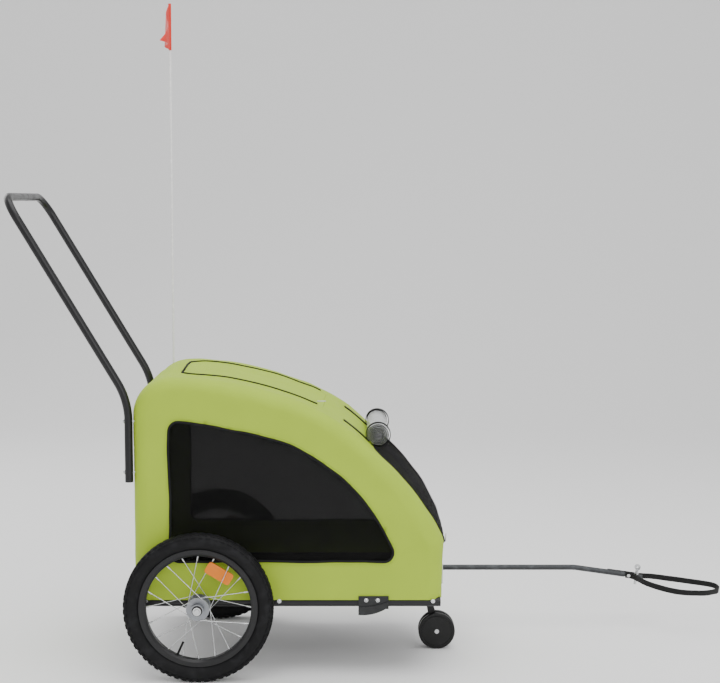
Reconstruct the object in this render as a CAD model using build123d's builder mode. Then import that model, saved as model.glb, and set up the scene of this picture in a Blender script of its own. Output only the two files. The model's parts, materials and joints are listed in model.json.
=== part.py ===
from build123d import *
import os
from math import acos, cos, degrees, radians, sin, sqrt, tan

# Bicycle trailer for a pet: fabric cabin on a tube frame, two spoked wheels, a push handle,
# a twin-wheel caster and a tow bar. Millimetres, +X forward, +Y to the left, +Z up, Z = 0 is the
# ground. "Right" is the -Y side. X is measured from the middle of the whole length.

os.makedirs("parts", exist_ok=True)

# ---- driving dimensions -------------------------------------------------------------------
gap = 0.3                     # running or seating clearance between separate pieces
track = 620                   # between the two wheels' centre planes
wheel_radius = 200            # over the tyre, also the axle's height
cabin_length = 827            # rear wall to front wall, over the fabric
cabin_width = 530
roof_height = 806             # top of the roof above the ground
cabin_base = 208              # lower edge of the fabric
rear_overhang = 178           # rear wall behind the axle
cover_wall = 2
edge_radius = 40              # rounding of the cabin's long edges
tube_wall = 1.5

# cabin outline, from the rear corner forward: radius and turn of each arc
rear_corner_radius = 100
roof_turn = 21.4
brow_radius = 537
brow_turn = 23.3
slope_length = 97
front_radius = 641
front_turn = 19.8
chin_radius = 70

# frame tubes
rail_radius = 12.5
arch_radius = 8
arch_y = 240                  # side arches, and the handle's two legs
front_tube_back = 45          # front cross tube behind the cabin front wall
rear_tube_ahead = 45
rail_end_back = 4

# push handle
handle_radius = 11
handle_reach = 510            # crossbar's centre behind the axle
handle_top = 1284
handle_foot = 524
handle_knee = 745
handle_bend = 205
handle_corner = 65
handle_bolt_heights = (551, 688)
bolt_radius = 3

# tow bar and hitch
bar_radius = 8
bar_pivot_ahead = 464         # pivot bolt ahead of the axle
bar_bend_ahead = 1075
bar_end_ahead = 1226
bar_droop = 8.1               # degrees
bar_height = 171.5
tongue_length = 48
pin_radius = 4
strap_width = 16
strap_thick = 2.4
strap_reach = 282             # from the tube's end to the loop's nose

# ---- places worked out from them ----------------------------------------------------------
droop_cos = cos(radians(bar_droop))
droop_sin = sin(radians(bar_droop))
hitch_reach = (bar_end_ahead + (strap_reach + strap_thick / 2) * droop_cos
               + strap_width / 2 * droop_sin)
axle_x = (handle_reach + handle_radius - hitch_reach) / 2
rear_x = axle_x - rear_overhang
front_x = rear_x + cabin_length
side_y = cabin_width / 2
rail_y = side_y - cover_wall - gap - rail_radius
rail_top = wheel_radius + rail_radius
chin_turn = 90 - roof_turn - brow_turn - front_turn
skin_to_arch = edge_radius - cover_wall - arch_radius - gap
arch_inset = edge_radius - sqrt(skin_to_arch ** 2 - (arch_y - side_y + edge_radius) ** 2)
slope_angle = roof_turn + brow_turn
chin_angle = slope_angle + front_turn
fixed_run = (rear_corner_radius + brow_radius * (sin(radians(slope_angle)) - sin(radians(roof_turn)))
             + slope_length * cos(radians(slope_angle))
             + front_radius * (sin(radians(chin_angle)) - sin(radians(slope_angle)))
             + chin_radius * (1 - sin(radians(chin_angle))))
roof_radius = (cabin_length - fixed_run) / sin(radians(roof_turn))


def save(piece, node):
    """Label a finished piece and write its STEP file."""
    piece.part.label = node
    export_step(piece.part, f"parts/{node}.step")
    print(node, len(piece.part.solids()), round(piece.part.volume))


def save_pair(piece, node):
    """Write a right-hand piece and its mirror image on the left."""
    save(piece, node + "_right")
    with BuildPart() as twin:
        mirror(piece.part, about=Plane.XZ)
    save(twin, node + "_left")


def cabin_outline(inset, foot):
    """Side outline of the cabin moved in by inset, from the rear foot to the front foot."""
    top = roof_height - rear_corner_radius
    lines = [Line((rear_x + inset, foot), (rear_x + inset, top))]
    turns = [(rear_corner_radius, 90), (roof_radius, roof_turn), (brow_radius, brow_turn),
             (None, slope_length), (front_radius, front_turn), (chin_radius, chin_turn)]
    for radius, turn in turns:
        if radius is None:
            lines.append(Line(lines[-1] @ 1, (lines[-1] @ 1) + (lines[-1] % 1) * turn))
        else:
            lines.append(JernArc(lines[-1] @ 1, lines[-1] % 1, radius - inset, -turn))
    lines.append(Line(lines[-1] @ 1, ((lines[-1] @ 1).X, foot)))
    return lines


def cabin_block(inset, foot):
    """Solid cabin shape with its skin moved in by inset."""
    with BuildPart() as block:
        with BuildSketch(Plane.XZ):
            with BuildLine():
                lines = cabin_outline(inset, foot)
                Line(lines[-1] @ 1, lines[0] @ 0)
            make_face()
        extrude(amount=side_y - inset, both=True)
        rims = block.edges().filter_by(lambda edge: abs(abs(edge.center().Y) - side_y + inset) < 0.01)
        fillet(rims.filter_by(lambda edge: edge.center().Z > foot + 1), edge_radius - inset)
    return block.part


def ring_tube(outer, wall):
    """Section of a round tube on the current sketch plane."""
    Circle(outer)
    Circle(outer - wall, mode=Mode.SUBTRACT)


with BuildLine(Plane.XZ) as outline:
    skin_lines = cabin_outline(0, cabin_base)
    arch_lines = cabin_outline(arch_inset, cabin_base)
spreader_places = [arch_lines[index] @ 1 for index in (1, 2, 3)]
brow_point = skin_lines[3] @ 1
brow_heading = skin_lines[3] % 1

# ---- frame --------------------------------------------------------------------------------
front_tube_x = front_x - front_tube_back
rear_tube_x = rear_x + rear_tube_ahead
cross_radius = 11
socket_radius = 9
axle_radius = 6
running = 0.05
screw_radius = 2.5
screw_head = 5.5
rail_screw_z = wheel_radius + 5
rail_screw_places = [rear_x + 33.5, axle_x + 212, front_x - 25]
bracket_rear = axle_x + 424
bracket_front = axle_x + 505
bracket_thick = 3
bracket_screw_z = wheel_radius + 8.5
bracket_screw_places = [bracket_rear + 21, bracket_rear + 52]
pivot_x = axle_x + bar_pivot_ahead
pivot_bolt_radius = 5
outer_skin = side_y + gap      # first plane outside the fabric's side

with BuildPart() as side_rail:
    rail_start = rear_x + rail_end_back
    with BuildSketch(Plane.YZ.offset(rail_start)):
        with Locations((-rail_y, wheel_radius)):
            ring_tube(rail_radius, tube_wall)
    extrude(amount=cabin_length - 2 * rail_end_back)
    with Locations((axle_x, -rail_y, wheel_radius)):
        Cylinder(socket_radius + gap, 4 * rail_radius, rotation=(90, 0, 0), mode=Mode.SUBTRACT)
    screw_places = [(x, -side_y, rail_screw_z) for x in rail_screw_places]
    screw_places += [(x, -side_y, bracket_screw_z) for x in bracket_screw_places]
    with Locations(*screw_places):
        Cylinder(screw_radius + 0.1, 24, rotation=(90, 0, 0), mode=Mode.SUBTRACT)
save_pair(side_rail, "side_rail")

with BuildPart() as rail_keepout:
    with Locations((0, -rail_y, wheel_radius), (0, rail_y, wheel_radius)):
        Cylinder(rail_radius + gap, 4 * cabin_length, rotation=(0, 90, 0))

with BuildPart() as cross_tubes:
    with BuildSketch(Plane.XZ):
        with Locations((front_tube_x, wheel_radius), (rear_tube_x, wheel_radius)):
            ring_tube(cross_radius, tube_wall)
        with Locations((axle_x, wheel_radius)):
            ring_tube(rail_radius, tube_wall)
    extrude(amount=rail_y, both=True)
    add(rail_keepout.part, mode=Mode.SUBTRACT)
save(cross_tubes, "cross_tubes")

with BuildPart() as axle_sockets:
    for side in (-1, 1):
        with BuildSketch(Plane.XZ.offset(-side * (outer_skin + 3))):
            with Locations((axle_x, wheel_radius)):
                Circle(socket_radius)
                Circle(axle_radius + running, mode=Mode.SUBTRACT)
        extrude(amount=side * 70)
save(axle_sockets, "axle_sockets")

with BuildPart() as side_arch:
    with BuildLine(Plane.XZ.offset(arch_y)) as arch_path:
        cabin_outline(arch_inset, rail_top - 6)
    with BuildSketch(Plane.XY.offset(rail_top - 6)):
        with Locations((rear_x + arch_inset, -arch_y)):
            ring_tube(arch_radius, tube_wall)
    sweep(path=arch_path.wires()[0])
    add(rail_keepout.part, mode=Mode.SUBTRACT)
    with Locations(*[(rear_x + arch_inset, -arch_y, z) for z in handle_bolt_heights]):
        Cylinder(bolt_radius + gap, 4 * arch_radius, rotation=(0, 90, 0), mode=Mode.SUBTRACT)
save_pair(side_arch, "side_arch")

with BuildPart() as roof_spreaders:
    with BuildSketch(Plane.XZ):
        with Locations(*[(place.X, place.Z) for place in spreader_places]):
            ring_tube(arch_radius, tube_wall)
    extrude(amount=arch_y - arch_radius - gap, both=True)
save(roof_spreaders, "roof_spreaders")

with BuildPart() as tow_bracket:
    with BuildSketch(Plane.XZ.offset(outer_skin)) as bracket_plate:
        lip_low = bar_height - 3
        with BuildLine():
            Polyline((bracket_rear, lip_low), (bracket_rear, rail_top + 6.5),
                     (bracket_front, rail_top + 6.5), (bracket_front, wheel_radius - 10))
            ThreePointArc((bracket_front, wheel_radius - 10), (bracket_rear + 48, lip_low + 5),
                          (bracket_rear, lip_low))
        make_face()
    extrude(amount=bracket_thick)
    with BuildSketch(Plane.XZ.offset(outer_skin + bracket_thick)):
        with BuildLine():
            Line((bracket_rear, lip_low), (bracket_rear, lip_low + 22))
            ThreePointArc((bracket_rear, lip_low + 22), (bracket_rear + 46, lip_low + 26),
                          (bracket_front, wheel_radius + 5))
            Line((bracket_front, wheel_radius + 5), (bracket_front, wheel_radius - 10))
            ThreePointArc((bracket_front, wheel_radius - 10), (bracket_rear + 48, lip_low + 5),
                          (bracket_rear, lip_low))
        make_face()
    extrude(amount=bracket_thick)
    flange_top = wheel_radius - rail_radius - gap
    with BuildSketch(Plane.XY.offset(flange_top)):
        with Locations(((bracket_rear + bracket_front) / 2, -(rail_y - 18 + outer_skin) / 2)):
            Rectangle(bracket_front - bracket_rear, outer_skin - rail_y + 18)
        with Locations((pivot_x, -rail_y)):
            Circle(pivot_bolt_radius + 0.1, mode=Mode.SUBTRACT)
    extrude(amount=-4)
    with Locations(*[(x, -side_y, bracket_screw_z) for x in bracket_screw_places]):
        Cylinder(screw_radius + 0.1, 24, rotation=(90, 0, 0), mode=Mode.SUBTRACT)
save_pair(tow_bracket, "tow_bracket")


def screws(places, seat, height):
    """Dome-headed screws driven into both rails, their heads on the plane y = seat."""
    for side in (-1, 1):
        with Locations(*[(x, side * (seat - 4), height) for x in places]):
            Cylinder(screw_radius, 9, rotation=(90, 0, 0))
        with Locations(*[Location((x, side * seat, height), (-side * 90, 0, 0)) for x in places]):
            Cylinder(screw_head, 1.5, align=(Align.CENTER, Align.CENTER, Align.MIN))
            Cone(screw_head, screw_head - 3, 3, align=(Align.CENTER, Align.CENTER, Align.MIN))


with BuildPart() as frame_screws:
    screws(rail_screw_places, outer_skin, rail_screw_z)
    screws(bracket_screw_places, outer_skin + bracket_thick + gap, bracket_screw_z)
save(frame_screws, "frame_screws")

# ---- fabric cabin -------------------------------------------------------------------------
flap_gap = 0.5
window_rear = rear_x + 96
window_head = 688
window_sill = 313
window_corner = 26
window_slope = 2.3            # degrees down at the rear end of the window's upper edge
window_roof_radius = 1137
window_roof_turn = 12.5
window_brow_radius = 535
front_half_width = 200
front_head = 600
front_sill = 308
front_sill_side = 353
rear_door_width = 350
rear_door_sill = 232
rear_door_height = 400
hatch_rear = rear_x + 118
hatch_front = rear_x + 508
hatch_width = 300
flap_corner = 40


def window_plate(inset, near_y, depth):
    """Plate with a side window's outline moved in by inset, from y = -near_y out to the right."""
    with BuildSketch(Plane.XZ.offset(near_y)) as shape:
        with BuildLine():
            head = (cos(radians(window_slope)), -sin(radians(window_slope)))
            first = JernArc((window_rear, window_head), head, window_roof_radius, -window_roof_turn)
            heading = window_slope + window_roof_turn
            drop = ((first @ 1).Y - window_sill) / window_brow_radius
            turn = degrees(acos(cos(radians(heading)) - drop)) - heading
            second = JernArc(first @ 1, first % 1, window_brow_radius, -turn)
            Polyline(second @ 1, (window_rear, window_sill), (window_rear, window_head))
        make_face()
        corners = shape.vertices().filter_by(
            lambda v: v.X < window_rear + 1 or v.Y < window_sill + 1)
        fillet(corners, window_corner)
        if inset:
            offset(amount=-inset)
    with BuildPart() as plate:
        extrude(shape.sketch, amount=depth)
    return plate.part


def front_shape(inset):
    """Outline of the front opening seen from ahead, moved in by inset."""
    with BuildSketch(Plane.YZ.offset(front_x - 230)) as shape:
        with BuildLine():
            Polyline((-front_half_width, front_sill_side), (-front_half_width, front_head),
                     (front_half_width, front_head), (front_half_width, front_sill_side))
            ThreePointArc((front_half_width, front_sill_side), (0, front_sill),
                          (-front_half_width, front_sill_side))
        make_face()
        fillet(shape.vertices(), flap_corner)
        if inset:
            offset(amount=-inset)
    return shape.sketch


def front_cutter(inset):
    """Prism through the front skin."""
    with BuildPart() as cutter:
        extrude(front_shape(inset), amount=300)
    return cutter.part


def rear_cutter(inset):
    """Prism through the rear skin."""
    with BuildPart() as cutter:
        with BuildSketch(Plane.YZ.offset(rear_x - 10)):
            with Locations((0, rear_door_sill + rear_door_height / 2)):
                RectangleRounded(rear_door_width - 2 * inset, rear_door_height - 2 * inset, flap_corner)
        extrude(amount=30)
    return cutter.part


def hatch_cutter(inset):
    """Prism through the roof skin."""
    with BuildPart() as cutter:
        with BuildSketch(Plane.XY.offset(front_head + 50)):
            with Locations(((hatch_rear + hatch_front) / 2, 0)):
                RectangleRounded(hatch_front - hatch_rear - 2 * inset, hatch_width - 2 * inset, flap_corner)
        extrude(amount=300)
    return cutter.part


with BuildPart() as skin:
    add(cabin_block(0, cabin_base))
    add(cabin_block(cover_wall, cabin_base - 5), mode=Mode.SUBTRACT)

with BuildPart() as cabin_cover:
    add(skin.part)
    add(rail_keepout.part, mode=Mode.SUBTRACT)
    add(window_plate(0, -side_y - 10, cabin_width + 20), mode=Mode.SUBTRACT)
    add(front_cutter(0), mode=Mode.SUBTRACT)
    add(rear_cutter(0), mode=Mode.SUBTRACT)
    add(hatch_cutter(0), mode=Mode.SUBTRACT)
    with Locations(*[(rear_x, side * arch_y, z) for side in (-1, 1) for z in handle_bolt_heights]):
        Cylinder(bolt_radius + gap, 20, rotation=(0, 90, 0), mode=Mode.SUBTRACT)
    with Locations(*[(x, 0, bracket_screw_z) for x in bracket_screw_places]):
        Cylinder(screw_radius + gap, cabin_width + 20, rotation=(90, 0, 0), mode=Mode.SUBTRACT)
    with Locations((axle_x, 0, wheel_radius)):
        Cylinder(socket_radius + gap, cabin_width + 20, rotation=(90, 0, 0), mode=Mode.SUBTRACT)
save(cabin_cover, "cabin_cover")

with BuildPart() as window_mesh:
    add(window_plate(flap_gap, side_y - cover_wall, cover_wall / 2))
save_pair(window_mesh, "window_mesh")

for node, cutter in [("front_mesh_door", front_cutter), ("rear_door", rear_cutter),
                     ("roof_hatch", hatch_cutter)]:
    with BuildPart() as flap:
        add(skin.part)
        add(cutter(flap_gap), mode=Mode.INTERSECT)
    save(flap, node)

# ---- cabin floor --------------------------------------------------------------------------
floor_thick = 4
mat_thick = 8
floor_inset = 24
floor_z = rail_top + gap
with BuildPart() as floor_panel:
    with BuildSketch(Plane.XY.offset(floor_z)):
        with Locations((rear_x + cabin_length / 2, 0)):
            RectangleRounded(cabin_length - 2 * floor_inset - 10, 2 * (arch_y - arch_radius) - 4, 12)
    extrude(amount=floor_thick)
save(floor_panel, "floor_panel")

with BuildPart() as floor_mat:
    with BuildSketch(Plane.XY.offset(floor_z + floor_thick + gap)):
        with Locations((rear_x + cabin_length / 2, 0)):
            RectangleRounded(cabin_length - 2 * floor_inset - 20, 2 * (arch_y - arch_radius) - 14, 20)
    extrude(amount=mat_thick)
    fillet(floor_mat.edges().filter_by(Plane.XY), 3)
save(floor_mat, "floor_mat")

# ---- rolled rain cover and its straps -----------------------------------------------------
roll_radius = 32
roll_length = 300
roll_down = 14
roll_strap_y = 136
roll_strap_width = 20
roll_strap_thick = 2
roll_foot = brow_point + brow_heading * roll_down
roll_x = roll_foot.X - brow_heading.Z * (roll_radius + gap)
roll_z = roll_foot.Z + brow_heading.X * (roll_radius + gap)

with BuildPart() as rain_cover_roll:
    with BuildSketch(Plane.XZ):
        with Locations((roll_x, roll_z)):
            ring_tube(roll_radius, roll_radius - 7)
    extrude(amount=roll_length / 2, both=True)
save(rain_cover_roll, "rain_cover_roll")

with BuildPart() as roll_straps:
    add(cabin_block(-gap - roll_strap_thick, cabin_base))
    tail_start = roll_foot.X - 72
    with Locations((tail_start, 0, front_head - 20)):
        Box(roll_foot.X - tail_start, 2 * roll_strap_y + roll_strap_width, 300, mode=Mode.INTERSECT,
            align=(Align.MIN, Align.CENTER, Align.MIN))
        Box(400, 2 * roll_strap_y - roll_strap_width, 600, mode=Mode.SUBTRACT)
    for side in (-1, 1):
        with BuildSketch(Plane.XZ.offset(side * roll_strap_y - roll_strap_width / 2)):
            with Locations((roll_x, roll_z)):
                ring_tube(roll_radius + gap + roll_strap_thick, roll_strap_thick)
        extrude(amount=roll_strap_width)
    with Locations((roll_x, 0, roll_z)):
        Cylinder(roll_radius + gap, roll_length, rotation=(90, 0, 0), mode=Mode.SUBTRACT)
    add(cabin_block(-gap, cabin_base), mode=Mode.SUBTRACT)
save(roll_straps, "roll_straps")

# ---- push handle --------------------------------------------------------------------------
handle_x = rear_x - flap_gap - handle_radius
crossbar_x = axle_x - handle_reach
spacer_radius = 8

with BuildPart() as handle_tube:
    with BuildLine() as handle_path:
        knees = [(handle_x, -arch_y, handle_foot), (handle_x, -arch_y, handle_knee),
                 (crossbar_x, -arch_y, handle_top), (crossbar_x, arch_y, handle_top),
                 (handle_x, arch_y, handle_knee), (handle_x, arch_y, handle_foot)]
        FilletPolyline(*knees, radius=[handle_bend, handle_corner, handle_corner, handle_bend])
    with BuildSketch(Plane.XY.offset(handle_foot)):
        with Locations((handle_x, -arch_y)):
            ring_tube(handle_radius, tube_wall)
    sweep(path=handle_path.wires()[0])
    with Locations(*[(handle_x, side * arch_y, z) for side in (-1, 1) for z in handle_bolt_heights]):
        Cylinder(bolt_radius + gap, 4 * handle_radius, rotation=(0, 90, 0), mode=Mode.SUBTRACT)
save(handle_tube, "handle_tube")

bolt_places = [(side * arch_y, z) for side in (-1, 1) for z in handle_bolt_heights]
with BuildPart() as handle_spacers:
    with BuildSketch(Plane.YZ.offset(rear_x + cover_wall + gap)):
        with Locations(*bolt_places):
            Circle(spacer_radius)
            Circle(bolt_radius + gap, mode=Mode.SUBTRACT)
    extrude(amount=arch_inset)
    add(cabin_block(cover_wall + gap, cabin_base), mode=Mode.INTERSECT)
    with Locations((rear_x + arch_inset, -arch_y, 0), (rear_x + arch_inset, arch_y, 0)):
        Cylinder(arch_radius + gap, 3 * handle_knee, mode=Mode.SUBTRACT)
    with Locations((rear_x + arch_inset + 25, 0, handle_knee - 100)):
        Box(50, cabin_width, handle_knee, mode=Mode.SUBTRACT)
save(handle_spacers, "handle_spacers")

with BuildPart() as handle_bolts:
    head_plane = handle_x - handle_radius - gap
    nut_plane = rear_x + arch_inset + arch_radius + gap
    with BuildSketch(Plane.YZ.offset(head_plane - 1)):
        with Locations(*bolt_places):
            Circle(bolt_radius)
    extrude(amount=nut_plane + 6 - head_plane)
    with BuildSketch(Plane.YZ.offset(head_plane)):
        with Locations(*bolt_places):
            Circle(2 * bolt_radius)
    extrude(amount=-3.5, taper=25)
    with BuildSketch(Plane.YZ.offset(nut_plane)):
        with Locations(*bolt_places):
            RegularPolygon(5.5, 6)
    extrude(amount=5)
save(handle_bolts, "handle_bolts")

# ---- tow bar and hitch, on the left-hand bracket ------------------------------------------
eye_thick = 12
bend_z = bar_height
bar_end_z = bend_z - (bar_end_ahead - bar_bend_ahead) * tan(radians(bar_droop))
hitch = Plane(origin=(axle_x + bar_end_ahead, rail_y, bar_end_z),
              x_dir=(droop_cos, 0, -droop_sin), z_dir=(droop_sin, 0, droop_cos))

with BuildPart() as tow_bar:
    bar_start = pivot_x + 14
    with BuildLine(Plane.XZ.offset(-rail_y)) as bar_path:
        FilletPolyline((bar_start, bend_z), (axle_x + bar_bend_ahead, bend_z),
                       (axle_x + bar_end_ahead, bar_end_z), radius=120)
    with BuildSketch(Plane.YZ.offset(bar_start)):
        with Locations((rail_y, bend_z)):
            ring_tube(bar_radius, tube_wall)
    sweep(path=bar_path.wires()[0])
    with BuildSketch(Plane.XY.offset(bend_z - eye_thick / 2)):
        with Locations((pivot_x, rail_y)):
            Circle(11)
        with Locations((pivot_x + 10, rail_y)):
            Rectangle(20, 16)
    extrude(amount=eye_thick)
    with Locations((pivot_x, rail_y, bend_z)):
        Cylinder(pivot_bolt_radius + 0.1, 2 * eye_thick, mode=Mode.SUBTRACT)
save(tow_bar, "tow_bar")

with BuildPart() as tow_pivot:
    eye_low = bend_z - eye_thick / 2 - gap
    eye_high = bend_z + eye_thick / 2 + gap
    with BuildSketch(Plane.XY.offset(eye_low - 6)):
        with Locations((pivot_x, rail_y)):
            RegularPolygon(9, 6)
    extrude(amount=6)
    with BuildSketch(Plane.XY.offset(eye_low)):
        with Locations((pivot_x, rail_y)):
            Circle(pivot_bolt_radius)
    extrude(amount=flange_top - eye_low)
    with BuildSketch(Plane.XY.offset(eye_high)):
        with Locations((pivot_x, rail_y)):
            Circle(9)
            Circle(pivot_bolt_radius + gap, mode=Mode.SUBTRACT)
    extrude(amount=flange_top - 4 - gap - eye_high)
save(tow_pivot, "tow_pivot")

tongue_half = 5
pin_ahead = tongue_length - 11
strap_bolt_ahead = 12
with BuildPart() as hitch_tongue:
    with BuildSketch(hitch.offset(-tongue_half)):
        with Locations((tongue_length / 2, 0)):
            Rectangle(tongue_length, 2 * bar_radius)
        with Locations((tongue_length, 0)):
            Circle(bar_radius)
        with Locations((pin_ahead, 0)):
            Circle(pin_radius + gap, mode=Mode.SUBTRACT)
    extrude(amount=2 * tongue_half)
    with Locations(hitch):
        Cylinder(bar_radius - tube_wall - gap, 30, rotation=(0, -90, 0),
                 align=(Align.CENTER, Align.CENTER, Align.MIN))
        with Locations((strap_bolt_ahead, 0, 0)):
            Cylinder(screw_radius + 0.1, 40, rotation=(90, 0, 0), mode=Mode.SUBTRACT)
save(hitch_tongue, "hitch_tongue")

pin_eye = 27
pin_reach = 20
clip_groove_drop = 2
clip_groove_width = 0.5
with BuildPart() as hitch_pin:
    with Locations(hitch.offset(tongue_half + gap)):
        with Locations((pin_ahead, 0, 0)):
            Cylinder(7, 3, align=(Align.CENTER, Align.CENTER, Align.MIN))
            Cylinder(4.5, 16, align=(Align.CENTER, Align.CENTER, Align.MIN))
    with Locations(hitch.offset(-tongue_half - pin_reach)):
        with Locations((pin_ahead, 0, 0)):
            Cylinder(pin_radius, pin_reach + 12, align=(Align.CENTER, Align.CENTER, Align.MIN))
    with Locations(hitch.offset(-tongue_half - clip_groove_drop)):
        with Locations((pin_ahead, 0, 0)):
            Cylinder(pin_radius + 1, clip_groove_width, align=(Align.CENTER, Align.CENTER, Align.MAX),
                     mode=Mode.SUBTRACT)
            Cylinder(pin_radius - 0.6, clip_groove_width, align=(Align.CENTER, Align.CENTER, Align.MAX))
    with Locations(hitch.offset(pin_eye)):
        with Locations((pin_ahead, 0, 0)):
            Cylinder(9, 6, rotation=(90, 0, 0))
            Cylinder(3, 10, rotation=(90, 0, 0), mode=Mode.SUBTRACT)
save(hitch_pin, "hitch_pin")

strap_side = bar_radius + gap + strap_thick / 2
# The loop's centre line on the hitch plane, from the near end round the nose to the far tail.
strap_route = [(3, -strap_side), (24, -strap_side), (58, -92), (125, -143), (225, -108),
               (strap_reach + 4, -34), (strap_reach + 3, 22), (strap_reach - 40, 30), (90, 27),
               (48, strap_side), (-50, strap_side)]


def soft_radii(route):
    """Largest comfortable bend radius at each corner of a route."""
    radii = []
    for before, here, after in zip(route, route[1:], route[2:]):
        back = Vector(*here) - Vector(*before)
        ahead = Vector(*after) - Vector(*here)
        radii.append(0.45 * min(back.length, ahead.length) / tan(radians(back.get_angle(ahead) / 2)))
    return radii


with BuildPart() as safety_strap:
    with BuildSketch(hitch.offset(-strap_width / 2)):
        with BuildLine() as strap_line:
            FilletPolyline(*strap_route, radius=soft_radii(strap_route))
        trace(line_width=strap_thick)
    extrude(amount=strap_width)
    with Locations(hitch):
        with Locations((strap_bolt_ahead, 0, 0)):
            Cylinder(screw_radius + gap, 40, rotation=(90, 0, 0), mode=Mode.SUBTRACT)
save(safety_strap, "safety_strap")

with BuildPart() as strap_bolt:
    rivet_seat = strap_side + strap_thick / 2 + gap
    with Locations(hitch):
        with Locations((strap_bolt_ahead, 0, 0)):
            Cylinder(screw_radius, 2 * rivet_seat + 2, rotation=(90, 0, 0))
        with Locations((strap_bolt_ahead, rivet_seat + 1, 0), (strap_bolt_ahead, -rivet_seat - 1, 0)):
            Cylinder(5, 2, rotation=(90, 0, 0))
save(strap_bolt, "strap_bolt")

# ---- front caster -------------------------------------------------------------------------
caster_radius = 52
caster_wheel_thick = 14
caster_trail = 25
caster_leg = 12
stem_radius = 8
stem_x = front_x - 27
caster_x = stem_x + caster_trail
caster_bolt_radius = 4
mount_top = wheel_radius - cross_radius - gap
mount_low = mount_top - 4
collar_low = mount_low - 16

with BuildPart() as caster_mount:
    with BuildSketch(Plane.XY.offset(mount_low)):
        with Locations(((front_tube_x - 14 + stem_x + 20) / 2, 0)):
            RectangleRounded(stem_x - front_tube_x + 34, 60, 6)
    extrude(amount=4)
    with BuildSketch(Plane.XY.offset(collar_low)):
        with Locations((stem_x, 0)):
            Circle(14)
    extrude(amount=16)
    with Locations((stem_x, 0, mount_low)):
        Cylinder(stem_radius + running, 80, mode=Mode.SUBTRACT)
save(caster_mount, "caster_mount")

with BuildPart() as caster_fork:
    with BuildSketch(Plane.XY.offset(collar_low - gap - 5)):
        with Locations((stem_x, 0)):
            Circle(13)
    extrude(amount=5)
    with BuildSketch(Plane.XY.offset(collar_low - 30)):
        with Locations((stem_x, 0)):
            Circle(stem_radius)
    extrude(amount=mount_top - collar_low + 28)
    with BuildSketch(Plane.XZ):
        with Locations((stem_x, collar_low - 24)):
            Circle(stem_radius)
        with Locations((caster_x, caster_radius)):
            Circle(14)
        make_hull()
        with Locations((caster_x, caster_radius)):
            Circle(caster_bolt_radius + running, mode=Mode.SUBTRACT)
    extrude(amount=caster_leg / 2, both=True)
save(caster_fork, "caster_fork")

with BuildPart() as caster_axle:
    bolt_half = caster_leg / 2 + caster_wheel_thick + 2 * gap
    with BuildSketch(Plane.XZ):
        with Locations((caster_x, caster_radius)):
            Circle(caster_bolt_radius)
    extrude(amount=bolt_half + 1, both=True)
    for side in (-1, 1):
        with BuildSketch(Plane.XZ.offset(side * bolt_half)):
            with Locations((caster_x, caster_radius)):
                Circle(7.5)
        extrude(amount=side * 3.5, taper=20)
save(caster_axle, "caster_axle")

with BuildPart() as caster_wheel:
    with BuildSketch(Plane.XZ.offset(caster_leg / 2 + gap)):
        with Locations((caster_x, caster_radius)):
            Circle(caster_radius)
            Circle(caster_bolt_radius + running, mode=Mode.SUBTRACT)
    extrude(amount=caster_wheel_thick)
    fillet(caster_wheel.edges().filter_by(GeomType.CIRCLE).sort_by(SortBy.RADIUS)[-2:], 3)
    with BuildSketch(Plane.XZ.offset(caster_leg / 2 + gap + caster_wheel_thick)):
        with Locations((caster_x, caster_radius)):
            Circle(caster_radius - 7)
            Circle(caster_radius - 10, mode=Mode.SUBTRACT)
    extrude(amount=-2, mode=Mode.SUBTRACT)
save_pair(caster_wheel, "caster_wheel")

# ---- wheels: the right-hand one is drawn, the left is its mirror image --------------------
tyre_section = 22
tyre_casing = 3.5
rim_outer = 158
rim_inner = 140
rim_half_width = 14
spoke_count = 20
spoke_radius = 1
nipple_radius = 2.2
spoke_sweep = 60              # degrees between a spoke's hub hole and its rim hole
flange_radius = 31
flange_inner = 18.5
flange_outer = 21.5
hub_half = 38
barrel_radius = 17
bearing_radius = 14
bearing_width = 8
head_radius = 11
button_radius = 7
button_travel = 3
valve_angle = 246
spoke_reflector_angle = 59
spoke_reflector_radius = 107
wheel_centre = (axle_x, -track / 2, wheel_radius)
# Section plane: x runs outboard from the wheel's centre plane, y is the radius.
section = Plane(origin=wheel_centre, x_dir=(0, -1, 0), z_dir=(-1, 0, 0))
wheel_axis = Axis(wheel_centre, (0, 1, 0))
tyre_centre = wheel_radius - tyre_section
bead_outer = rim_half_width - 3 - gap
bead_inner = bead_outer - 1.8


def rim_point(radius, angle, outboard=0):
    """Point at a radius and an angle from +X, this far outboard of the wheel's centre plane."""
    x = axle_x + radius * cos(radians(angle))
    return Vector(x, -track / 2 - outboard, wheel_radius + radius * sin(radians(angle)))


def rod(start, end, radius):
    """Round rod from start to end, added to the current part."""
    with BuildSketch(Plane(origin=start, z_dir=end - start)) as face:
        Circle(radius)
    extrude(face.sketch, amount=(end - start).length)


def turned_ring(inner, outer, low, high):
    """Ring about the wheel's axis between two outboard places, added to the current part."""
    with BuildSketch(section) as face:
        with Locations(((low + high) / 2, (inner + outer) / 2)):
            Rectangle(high - low, outer - inner)
    revolve(face.sketch, axis=wheel_axis)


with BuildPart() as tyre:
    with BuildSketch(section):
        with Locations((0, tyre_centre)):
            Circle(tyre_section)
            Circle(tyre_section - tyre_casing, mode=Mode.SUBTRACT)
        with Locations((0, rim_outer - 15)):
            Rectangle(2 * tyre_section, 31.4, mode=Mode.SUBTRACT)
        with Locations((0, rim_outer - 4.2)):
            Rectangle(2 * bead_outer, 12.4)
        with Locations((0, rim_outer - 3)):
            Rectangle(2 * bead_inner, 20, mode=Mode.SUBTRACT)
    revolve(axis=wheel_axis)
save_pair(tyre, "tyre")

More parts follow.
